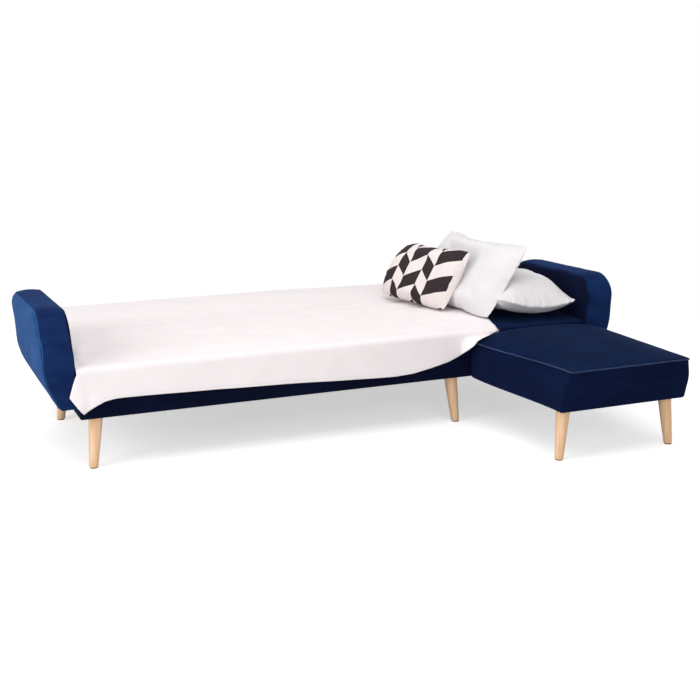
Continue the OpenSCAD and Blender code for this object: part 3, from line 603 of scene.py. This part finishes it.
def chaise_cushion(name, material, top_painted_shade_cloth, foot, inset=0.0):
    """The cushion's skin down to foot. inset shrinks it, for the foam under the cloth."""
    low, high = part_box("chaise_cover")
    r, cell = 0.011, 0.014
    top = high.z - chaise_crown - inset

    def stuff(x, y, z):
        t = min(1, max(0, (z - low.z) / (top - low.z)))
        u = min(1, max(0, (x - low.x) / (high.x - low.x)))
        v = min(1, max(0, (y - low.y) / (high.y - low.y)))
        sides = 1 - abs(2 * u - 1) ** 3.2
        fill = (1 - (1 - v) ** 2.5) * sides * (1.1 - 0.2 * u) * (1 - 0.25 * smooth(v * 12 - 11))
        dimple = 0.0014 * ripple(x, y, 0, 8, 51) * sides * min(1, 4 * v)
        z += smooth(t * 3 - 2) * (chaise_crown * fill + dimple)
        swell = 0.0040 + 0.0016 * ripple(x, y, z, 10, 52) + 0.0010 * ripple(x, 0, z * 4, 12, 53)
        swell *= math.sin(math.pi * t)
        if u < 0.015 or u > 0.985:
            x += swell if u > 0.5 else -swell
        if v < 0.015:
            y -= swell
        return (chaise_lean(x, y, z), y, z)

    return rounded_box(name, (low.x + inset, low.y + inset, foot),
                       (high.x - inset, high.y - inset, top), r, cell, material, stuff, top_painted_shade_cloth)


# Its top panel gets the darker top velvet: painted shade.
settle(chaise_cushion("chaise_cushion_cover", velvet, velvet_top_painted_shade,
                                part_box("chaise_cover")[0].z - 0.004),
                 "chaise", "navy_velvet", "chaise_cover")
settle(chaise_cushion("chaise_cushion_foam", foam, None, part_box("chaise_foam")[0].z, 0.005),
       "chaise", "foam", "chaise_foam")


# ---- Piping round the chaise ----
# A 6 mm cotton cord covered in the same velvet, sewn into the seam round the top panel.
# Its velvet is a lighter, shinier copy of the navy velvet: a painted highlight along the cord.
def node_group(name, *values):
    """An empty geometry node group with a Geometry input and output and named values."""
    tree = bpy.data.node_groups.new(name, "GeometryNodeTree")
    for label, kind in (("Geometry", "NodeSocketGeometry"), *values):
        tree.interface.new_socket(label, in_out="INPUT", socket_type=kind)
    tree.interface.new_socket("Geometry", in_out="OUTPUT", socket_type="NodeSocketGeometry")
    return tree, tree.nodes.new("NodeGroupInput"), tree.nodes.new("NodeGroupOutput")


def new_nodes(tree, *kinds):
    """A new geometry node of each kind, in order."""
    return [tree.nodes.new("GeometryNode" + kind) for kind in kinds]


def wire(tree, *links):
    """Links (node, its output, node, its input)."""
    for source, out, target, into in links:
        tree.links.new(source.outputs[out], target.inputs[into])


def grow(piece, tree, **values):
    """Runs a node group on a piece, keeps the result as its mesh and takes the modifier off."""
    modifier = piece.modifiers.new(tree.name, "NODES")
    modifier.node_group = tree
    for item in tree.interface.items_tree:
        if item.in_out == "INPUT" and item.name in values:
            modifier[item.identifier] = values[item.name]
    return keep_shape(piece)


def keep_shape(piece):
    """Applies every modifier on a piece."""
    bpy.context.view_layer.update()
    graph = bpy.context.evaluated_depsgraph_get()
    mesh = bpy.data.meshes.new_from_object(piece.evaluated_get(graph), depsgraph=graph)
    piece.modifiers.clear()
    piece.data = mesh
    return piece


def cord_tree():
    """A round cord swept along a line."""
    tree, start, end = node_group("cord_along_edges", ("Radius", "NodeSocketFloat"),
                                  ("Cloth", "NodeSocketMaterial"))
    curve, circle, sweep, soft, real, paint = new_nodes(
        tree, "MeshToCurve", "CurvePrimitiveCircle", "CurveToMesh", "SetShadeSmooth",
        "RealizeInstances", "SetMaterial")
    circle.inputs["Resolution"].default_value = 10
    sweep.inputs["Fill Caps"].default_value = True
    wire(tree, (start, "Geometry", curve, "Mesh"),
         (curve, "Curve", sweep, "Curve"),
         (start, "Radius", circle, "Radius"),
         (circle, "Curve", sweep, "Profile Curve"),
         (sweep, "Mesh", soft, "Geometry"),
         (soft, "Geometry", real, "Geometry"),
         (real, "Geometry", paint, "Geometry"),
         (start, "Cloth", paint, "Material"),
         (paint, "Geometry", end, "Geometry"))
    return tree


def edge_line(name, points):
    """A chain of edges through points."""
    mesh = bpy.data.meshes.new(name)
    mesh.from_pydata([tuple(p) for p in points], [(i, i + 1) for i in range(len(points) - 1)], [])
    return new_object(name, mesh)


# A lighter, shinier copy of the navy velvet for the cord: a painted highlight.
piping_velvet_painted_highlight = velvet_cloth("piping_velvet_painted_highlight", "#1b2a4c", "#33476f", "#aebbd6", 0.6)


def chaise_cord():
    low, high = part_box("chaise_piping")
    r, corner_r = 0.0030, 0.012
    x0, x1, y0, z = low.x + r, high.x - r, low.y + r, (low.z + high.z) / 2
    path = ([(x0, high.y)]
            + arc(x0 + corner_r, y0 + corner_r, corner_r, 180, 270, 8)
            + arc(x1 - corner_r, y0 + corner_r, corner_r, 270, 360, 8)
            + [(x1, high.y)])
    points = [(chaise_lean(x, y, z), y, z + 0.0007 * ripple(x, y, 0, 17, 71))
              for x, y in even(path, 420, closed=False)]
    return grow(edge_line("chaise_piping_cord", points), cord_tree(), Radius=r, Cloth=piping_velvet_painted_highlight)


settle(chaise_cord(), "chaise", "navy_velvet", "chaise_piping")


# ---- Bed sheet ----
# A white cotton percale sheet with a stitched front hem. It tucks against the left arm, hangs
# over the front to a pointed corner, rises to the right and laps over the chaise's rear left
# corner, and drops over the back's far edge.
def cotton(name, light, dark, thread_mm, crease):
    m = new_material(name)
    weave = mottle(m, 1000 / thread_mm, detail=1.0)
    soft = mottle(m, 9.0, detail=4.0, roughness=0.5)
    fine = bumped(m, weave, 0.25, 0.0003)
    return surface(m, ramp(m, soft, [(0.3, dark), (0.65, light)]), bumped(m, soft, crease, 0.01, fine),
                   roughness=0.88, specular_ior_level=0.18, sheen_weight=0.12, sheen_roughness=0.5)


sheet_cotton = cotton("white_percale", "#f2ebec", "#eee7e8", 0.7, 0.08)


def spread_sheet():
    """The sheet, and the line of its front hem's stitches. hem holds the (x, z) points that
    the hem passes."""
    seat_low, (back_low, back_high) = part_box("seat_cover")[0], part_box("back_cover")
    front, rear, level = seat_low.y - 0.0072, back_high.y + 0.0035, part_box("bed_sheet")[1].z
    left, right, tuck = -1.180, 0.711, 0.004
    bend, bend_rear, drop_z = 0.034, 0.045, 0.349
    gap_y, far_y, stitch_w = 0.428, 0.9, 0.9
    hem = even([(-1.160, 0.248), (-1.138, 0.260), (-1.108, 0.277), (-1.071, 0.292), (-1.030, 0.299),
                (-0.990, 0.300), (-0.840, 0.297), (-0.690, 0.293), (-0.480, 0.287), (-0.255, 0.280),
                (-0.070, 0.271), (0.115, 0.263), (0.205, 0.261), (0.285, 0.265), (0.370, 0.281),
                (0.464, 0.303), (0.514, 0.324), (0.560, 0.348), (0.586, 0.364), (0.602, 0.383),
                (0.630, 0.396), (0.664, 0.407), (0.690, 0.419), (right, 0.428)], 400, closed=False)
    spread = np.linspace(0, 1, len(hem))
    gathered, span = 0.06, right - left + tuck
    columns = np.concatenate([np.linspace(0, gathered, 11), np.linspace(gathered, span, 205)[1:]])
    columns /= span
    creases = [(-1.100, 0.00, 80, 0.17, 0.024, 0.0060), (-1.150, 0.02, 84, 0.19, 0.020, -0.0080),
               (-1.060, -0.16, 60, 0.10, 0.018, 0.0022), (0.430, -0.12, 20, 0.22, 0.016, 0.0028),
               (0.560, -0.02, 35, 0.18, 0.014, 0.0026), (0.470, 0.10, 5, 0.24, 0.018, 0.0024),
               (0.250, 0.30, -12, 0.30, 0.020, 0.0022), (-0.300, 0.05, 8, 0.40, 0.022, 0.0016),
               (-0.700, 0.22, -10, 0.36, 0.024, 0.0018), (-0.850, -0.12, 24, 0.24, 0.016, 0.0020),
               (-0.150, 0.62, 14, 0.40, 0.022, 0.0022), (0.150, 0.75, -20, 0.30, 0.018, 0.0020),
               (-0.600, 0.72, -6, 0.34, 0.024, 0.0020), (-0.980, 0.60, 50, 0.20, 0.018, 0.0022)]

    def lie(x, y):
        """Height of the sheet where it lies: it dips over the gap and rises on the back. A
        crease is a soft ridge: its place, turn in degrees, length, width and height."""
        back = smooth((y - 0.46) / 0.3)
        z = level - 0.005 * smooth((y - 0.43) / 0.06) + 0.017 * back * (1 - 0.7 * smooth(x / 0.7))
        z -= 0.008 * (1 - smooth((y - front) / 0.17))
        z -= 0.0045 * math.exp(-((y - 0.425) / 0.024) ** 2)
        z += 0.0010 * ripple(x, y, 0, 3.1, 61) + 0.0005 * ripple(x, y, 0, 9, 62)
        for cx, cy, turn, long, wide, high in creases:
            a = math.radians(turn)
            s = (x - cx) * math.cos(a) + (y - cy) * math.sin(a)
            t = (y - cy) * math.cos(a) - (x - cx) * math.sin(a) + 0.02 * math.sin(s * 9 + cx)
            z += high * math.exp(-(s / long) ** 2 - (t / wide) ** 2)
        return z

    def hang(u, w):
        """A point of the front drop: w from 0 at the bend to 1 at the hem. The lap lies over
        the chaise's corner."""
        hem_x, hem_z = [float(np.interp(u, spread, hem[:, k])) for k in (0, 1)]
        top_x, top_z = left + u * (right - left), level - bend
        x = top_x + (hem_x - top_x) * w
        z = top_z + (hem_z - top_z) * w
        x -= 0.043 * min(w / 0.56, (1 - w) / 0.44) ** 0.85 * math.exp(-u / 0.022)
        fold = 0.5 + 0.5 * ripple(x, 0, 0, 5.5, 63) + 0.25 * ripple(x, 0, z, 14, 64)
        lap = smooth((x - 0.52) / 0.06) * (1 - smooth((x - 0.64) / 0.07)) * w
        y = front - w * (0.0015 + 0.0055 * fold) - 0.055 * lap
        x, z = x - 0.030 * lap, z + 0.015 * lap
        y -= 0.004 * math.exp(-u / 0.03) * w * (1 + math.sin(x * 90))
        return (x, y, z)

    flat_y = np.linspace(front + bend, rear - bend_rear, 118)
    points = []
    for u in columns:
        points += [hang(u, w) for w in np.linspace(1, 0, 26)]
        x = left + u * (right - left)
        for a in np.linspace(0, math.pi / 2, 8)[1:-1]:
            points.append((x, front + bend * (1 - math.cos(a)), level - bend + bend * math.sin(a)
                           + (lie(x, front) - level) * a / (math.pi / 2)))
        for y in flat_y:
            on_back = smooth((y - gap_y) / 0.035)
            x_left = left - tuck - 0.026 * on_back
            x = x_left + u * (right + 0.085 * smooth((y + 0.30) / 0.42) - x_left)
            past_seat = max(0, seat_low.x - x) * (1 - on_back)
            past_back = max(0, back_low.x - 0.002 - x) * on_back
            z = lie(x, y) + 0.9 * past_seat - 0.95 * past_back
            x = max(x, seat_low.x - 0.007) if on_back < 0.5 else max(x, back_low.x - 0.0065)
            points.append((x, y, z))
        for a in np.linspace(0, math.pi / 2, 9)[1:]:
            points.append((x, rear - bend_rear * (1 - math.sin(a)),
                           lie(x, far_y) - bend_rear * (1 - math.cos(a))))
        start_z = points[-1][2]
        wave = 0.5 + 0.5 * ripple(x, 0, 0, 6, 66)
        for w in np.linspace(0, 1, 9)[1:]:
            points.append((x, rear + 0.004 * w * wave,
                           start_z + (drop_z - start_z) * w + 0.004 * w * ripple(x, 0, 0, 2.5, 67)))
    rows = len(points) // len(columns)
    faces = [(i * rows + j, (i + 1) * rows + j, (i + 1) * rows + j + 1, i * rows + j + 1)
             for i in range(len(columns) - 1) for j in range(rows - 1)]
    piece = mesh_piece("percale_sheet", points, faces, sheet_cotton)
    thick = piece.modifiers.new("cloth", "SOLIDIFY")
    thick.thickness = 0.0014
    thick.offset = -1
    return keep_shape(piece), [Vector(hang(u, stitch_w)) - Vector((0, 0.0003, 0)) for u in columns]


def stitch_tree():
    """Short threads laid end to end along a line, at a pitch."""
    tree, start, end = node_group("stitches_along_edges", ("Pitch", "NodeSocketFloat"),
                                  ("Length", "NodeSocketFloat"), ("Thread", "NodeSocketFloat"),
                                  ("Cotton", "NodeSocketMaterial"))
    curve, spaced, tangent, thread, sewn, real, paint = new_nodes(
        tree, "MeshToCurve", "ResampleCurve", "InputTangent", "MeshCylinder", "InstanceOnPoints",
        "RealizeInstances", "SetMaterial")
    spaced.mode = "LENGTH"
    aim = tree.nodes.new("FunctionNodeAlignRotationToVector")
    aim.axis = "Z"
    thread.inputs["Vertices"].default_value = 6
    wire(tree, (start, "Geometry", curve, "Mesh"),
         (curve, "Curve", spaced, "Curve"),
         (start, "Pitch", spaced, "Length"),
         (start, "Thread", thread, "Radius"),
         (start, "Length", thread, "Depth"),
         (tangent, "Tangent", aim, "Vector"),
         (spaced, "Curve", sewn, "Points"),
         (thread, "Mesh", sewn, "Instance"),
         (aim, "Rotation", sewn, "Rotation"),
         (sewn, "Instances", real, "Geometry"),
         (real, "Geometry", paint, "Geometry"),
         (start, "Cotton", paint, "Material"),
         (paint, "Geometry", end, "Geometry"))
    return tree


sheet_piece, hem_line = spread_sheet()
hem_thread = cotton("white_sewing_thread", "#dcd6d8", "#d2ccce", 0.3, 0.0)
hem_stitches = settle(grow(edge_line("sheet_hem_stitches", hem_line), stitch_tree(), Pitch=0.0034,
                           Length=0.0024, Thread=0.0004, Cotton=hem_thread),
                      "base", "white_cotton_sheet")
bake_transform(sheet_piece)
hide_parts("bed_sheet")


# ---- Pillows ----
# Two white cotton pillows, each sewn from two layers and filled with loose fibre. One
# stands on its long side against the other, which lies in the corner by the right arm.
def sewn_case(name, length, width, thick, material, pressure, cell=0.019, calm=2):
    """Two layers of cloth sewn round the rim and blown up by the filling, as wide, long and
    thick as given. calm passes of smoothing settle the filling. Keeps each point's place on
    the flat cloth in the attribute cloth."""
    nx, ny = round(length / cell), round(width / cell)
    apart = 0.006
    points, faces, index = [], [], {}

    def spot(i, j, layer):
        """The layers share their points along the rim."""
        return (i, j, 0 if i in (0, nx) or j in (0, ny) else layer)

    for layer in (-1, 1):
        for j in range(ny + 1):
            for i in range(nx + 1):
                key = spot(i, j, layer)
                if key not in index:
                    index[key] = len(points)
                    u, v = 2 * i / nx - 1, 2 * j / ny - 1
                    points.append((length / 2 * u * (1 - 0.05 * u * u * v ** 6),
                                   width / 2 * v * (1 - 0.08 * v * v * u ** 6), key[2] * apart))
        for j in range(ny):
            for i in range(nx):
                quad = [index[spot(a, b, layer)]
                        for a, b in ((i, j), (i + 1, j), (i + 1, j + 1), (i, j + 1))]
                faces.append(quad[::layer])
    piece = mesh_piece(name, points, faces, material)
    flat = np.array(points)
    place = piece.data.attributes.new("cloth", "FLOAT_VECTOR", "POINT")
    place.data.foreach_set("vector", flat.ravel())
    cloth = piece.modifiers.new("case", "CLOTH")
    for key, value in dict(quality=7, mass=0.25, air_damping=3, tension_stiffness=25,
                           compression_stiffness=12, shear_stiffness=4, bending_stiffness=0.12,
                           use_pressure=True, uniform_pressure_force=pressure).items():
        setattr(cloth.settings, key, value)
    cloth.settings.effector_weights.gravity = 0
    first, last = 1, 20
    cloth.point_cache.frame_start = first
    cloth.point_cache.frame_end = last
    scene = bpy.context.scene
    for step in range(first, last + 1):
        scene.frame_set(step)
    graph = bpy.context.evaluated_depsgraph_get()
    blown = piece.evaluated_get(graph).to_mesh()
    out = np.zeros(len(points) * 3)
    blown.vertices.foreach_get("co", out)
    out = out.reshape(-1, 3)
    piece.modifiers.clear()
    scene.frame_set(first)
    for layer in (-1, 1):
        grid = np.array([[index[spot(i, j, layer)] for i in range(nx + 1)] for j in range(ny + 1)])
        for _ in range(calm):
            z = out[grid, 2]
            z[1:-1, 1:-1] = (z[1:-1, 1:-1] * 4 + z[:-2, 1:-1] + z[2:, 1:-1]
                             + z[1:-1, :-2] + z[1:-1, 2:]) / 8
            out[grid, 2] = z
    size = np.ptp(out, axis=0)
    out = (out - (out.max(0) + out.min(0)) / 2) * np.array([length, width, thick]) / size
    piece.data.vertices.foreach_set("co", out.ravel())
    finer = piece.modifiers.new("finer", "SUBSURF")
    finer.levels = finer.render_levels = 2
    return keep_shape(piece)


def pose_case(piece, shape, turn, centre):
    """Shapes a case in its own frame, turns it and sets it down."""
    co = np.zeros(len(piece.data.vertices) * 3)
    piece.data.vertices.foreach_get("co", co)
    co = np.array([shape(*p) for p in co.reshape(-1, 3)])
    co = co @ np.array(turn.to_3x3()).T + np.array(centre)
    piece.data.vertices.foreach_set("co", co.ravel())
    piece.data.update()
    return piece


def rest_on(piece, level, give=0.012):
    """Flattens what would sink below level into a soft contact patch."""
    for v in piece.data.vertices:
        if v.co.z < level + give:
            sunk = level + give - v.co.z
            v.co.z = level + give * math.exp(-sunk / give)
    return piece


def stuffed(x, y, z, long, wide, seed):
    """Fills the shoulders of a case, and gathers the cloth into short folds at its seams."""
    u, v = abs(2 * x / long), abs(2 * y / wide)
    rim = max(u, v)
    z *= 1 + 0.30 * smooth((rim - 0.4) / 0.35) * (1 - smooth((rim - 0.88) / 0.12))
    along = x if v > u else y
    reach = min((1 - u) * long, (1 - v) * wide) / 2
    fold = noise.noise(Vector((along * 55 + seed, reach * 12, seed))) + 0.5 * noise.noise(
        Vector((along * 110, reach * 30, 2 * seed)))
    gather = math.exp(-(max(0, reach) / 0.028))
    z += 0.0070 * fold * gather * (1 if z > 0 else 0.5)
    return z + 0.003 * ripple(x, y, z, 11, seed) * (1 - rim ** 3)


def turned(degrees, axis):
    return Matrix.Rotation(math.radians(degrees), 4, axis)


pillow_cotton = cotton("white_pillow_cotton", "#e2dfe1", "#dbd9db", 0.8, 0.22)


def standing():
    long, wide, thick = 0.665, 0.405, 0.130
    piece = sewn_case("upright_pillow", long, wide, thick, pillow_cotton, 1.15, calm=9)

    def slump(x, y, z):
        u, v = 2 * x / long, 2 * y / wide
        z = stuffed(x, y, z, long, wide, 81)
        y -= 0.018 * (1 - u * u) * smooth(v)
        return (x + 0.020 * smooth(v) * smooth(-u), y, z)

    return pose_case(piece, slump, turned(-83, "Z") @ turned(55, "X"), (0.799, 0.1962, 0.609))


def lying():
    long, wide, thick = 0.660, 0.405, 0.190
    piece = sewn_case("flat_pillow", long, wide, thick, pillow_cotton, 1.7, calm=6)

    def slump(x, y, z):
        u, v = 2 * x / long, 2 * y / wide
        z = stuffed(x, y, z, long, wide, 83)
        z -= 0.036 * (smooth(abs(u) * 2 - 1) * (1 - v * v) + 0.8 * smooth(abs(v) * 2 - 1) * (1 - u * u))
        return (x, y, z)

    return pose_case(piece, slump, turned(5, "Y") @ turned(90, "Z"), (0.968, 0.112, 0.535))


def soft_goods(piece, node):
    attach(piece, "base")
    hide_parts(node)
    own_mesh(piece)


sheet_top, seat_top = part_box("bed_sheet")[1].z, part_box("seat_cover")[1].z + 0.0005
for pillow, level, node, anchor in ((standing(), sheet_top, "standing_pillow", (0.8, -0.136, 0.6)),
                                    (lying(), seat_top, "lying_pillow", (1.0, -0.17, 0.5))):
    soft_goods(rest_on(pillow, level), node)


# ---- Patterned cushion ----
# A small cotton cushion printed in charcoal on white: columns of slanting bars that change
# direction from one column to the next. It leans back against the upright pillow.
def printed_cotton(name, wide, narrow, edge, period, slant, start):
    """Dark bars that rise to the right in wide columns and drop as far in narrow ones, half a
    period along in every second column. edge is the right side of the last wide column, and
    start moves the bars along. The columns draw closer towards the left."""
    closer = 0.7
    m = new_material(name)
    place = add(m, "Attribute", attribute_name="cloth")
    parts = add(m, "SeparateXYZ", [(place.outputs["Vector"], 0)])

    def maths(kind, *values):
        node = add(m, "Math", operation=kind)
        for socket, value in zip(node.inputs, values):
            if isinstance(value, (int, float)):
                socket.default_value = value
            else:
                m.node_tree.links.new(value, socket)
        return node.outputs[0]

    x = maths("SUBTRACT", parts.outputs["X"], edge)
    x = maths("SUBTRACT", x, maths("MULTIPLY", maths("MULTIPLY", x, x), closer))
    cell = maths("FLOORED_MODULO", x, wide + narrow)
    up = maths("DIVIDE", maths("SUBTRACT", cell, narrow), wide)
    down = maths("SUBTRACT", 1.0, maths("DIVIDE", cell, narrow))
    zigzag = maths("MULTIPLY", maths("MAXIMUM", up, down), slant)
    turn = maths("MULTIPLY", maths("LESS_THAN", cell, narrow), 0.5)
    along = maths("ADD", maths("DIVIDE", maths("SUBTRACT", parts.outputs["Y"], zigzag), period), turn)
    bars = maths("LESS_THAN", maths("FRACT", maths("ADD", along, start + 8)), 0.5)
    ink = maths("MULTIPLY", bars, maths("LESS_THAN", x, 0.0))
    colour = add(m, "Mix", [(ink, "Factor")], data_type="RGBA")
    colour.inputs[6].default_value = srgb("#e6dddb")
    colour.inputs[7].default_value = srgb("#332b2d")
    return surface(m, colour.outputs[2], bumped(m, mottle(m, 1100.0, detail=1.0), 0.3, 0.0004),
                   roughness=0.9, specular_ior_level=0.15)


def cushion():
    long, wide, thick = 0.450, 0.300, 0.112
    print_cloth = printed_cotton("printed_cotton", wide=0.128, narrow=0.077, edge=0.203,
                                 period=0.149, slant=0.0485, start=0.71)
    piece = sewn_case("printed_cushion", long, wide, thick, print_cloth, 1.1, cell=0.014)

    def slump(x, y, z):
        u, v = 2 * x / long, 2 * y / wide
        z = stuffed(x, y, z, long, wide, 85)
        left = smooth(-2 * u - 0.6)
        x += left * (0.014 * smooth(2 * v - 1) - 0.016 * (1 - v * v))
        y += 0.010 * smooth(2 * v - 1) * math.exp(-((u + 0.65) / 0.25) ** 2)
        return (1.04 * x - 0.005 + 0.034 * v, y + 0.006 - 0.003 * v + 0.0095 * u * v, z)

    return pose_case(piece, slump, turned(-73, "Z") @ turned(68, "X"), (0.622, 0.301, 0.582))


soft_goods(rest_on(cushion(), sheet_top), "patterned_cushion")


# ---- Floor and light ----
# A pale seamless floor that fades to the white behind it, a broad softbox overhead, a smaller
# one at the left and a large one in front.
def seamless_white():
    """Near the sofa a white that looks lighter than the light on it, and further out plain white."""
    m = new_material("seamless_white_floor")
    path = add(m, "LightPath")
    diffuse = add(m, "BsdfDiffuse", color=srgb("#f0f0f0"))
    level = add(m, "Math", [(path.outputs["Is Camera Ray"], 0)], operation="MULTIPLY")
    level.inputs[1].default_value = 0.54
    lift = add(m, "Emission", [(level.outputs[0], "Strength")], color=(1, 1, 1, 1))
    near = add(m, "AddShader", [(diffuse.outputs[0], 0), (lift.outputs[0], 1)])
    place = add(m, "TexCoord")
    away = add(m, "VectorMath", [(place.outputs["Object"], 0)], operation="LENGTH")
    fade = add(m, "MapRange", [(away.outputs["Value"], "Value")], from_min=1.6, from_max=3.6,
               interpolation_type="SMOOTHSTEP")
    glow = add(m, "Emission", color=(1, 1, 1, 1), strength=1.0)
    return output(m, add(m, "MixShader", [(fade.outputs[0], "Fac"), (near.outputs[0], 1),
                                          (glow.outputs[0], 2)]))


def white_surround():
    """A dim world that looks white to the camera and in reflections."""
    world = bpy.data.worlds.new("studio")
    bpy.context.scene.world = world
    world.use_nodes = True
    world.node_tree.nodes.clear()
    path = add(world, "LightPath")
    dim = add(world, "Background", color=srgb("#f4f2f2"), strength=0.45)
    bright = add(world, "Background", color=(1, 1, 1, 1), strength=1.0)
    seen = path.outputs["Is Camera Ray"]
    for other in ("Is Glossy Ray", "Is Transmission Ray"):
        seen = add(world, "Math", [(seen, 0), (path.outputs[other], 1)], operation="MAXIMUM").outputs[0]
    mix = add(world, "MixShader", [(seen, "Fac"), (dim.outputs[0], 1), (bright.outputs[0], 2)])
    add(world, "OutputWorld", [(mix.outputs[0], "Surface")])


def softbox(name, place, aim, size, watts):
    lamp = bpy.data.lights.new(name, "AREA")
    lamp.shape = "SQUARE"
    lamp.size = size
    lamp.energy = watts
    holder = new_object(name, lamp)
    holder.location = place
    holder.rotation_euler = (Vector(aim) - Vector(place)).to_track_quat("-Z", "Y").to_euler()


mesh_piece("floor", [(-14, -14, 0), (14, -14, 0), (14, 14, 0), (-14, 14, 0)], [(0, 1, 2, 3)],
                    seamless_white(), smooth=False)
white_surround()
softbox("overhead_softbox", (-0.1, -0.3, 3.6), (0, 0.1, 0.3), size=4.5, watts=94)
softbox("left_softbox", (-4.2, -1.0, 1.7), (-0.9, 0, 0.4), size=2.6, watts=74)
softbox("front_softbox", (-0.6, -5.6, 2.1), (0, 0, 0.4), size=3.6, watts=66)
bpy.context.scene.view_settings.view_transform = "Standard"
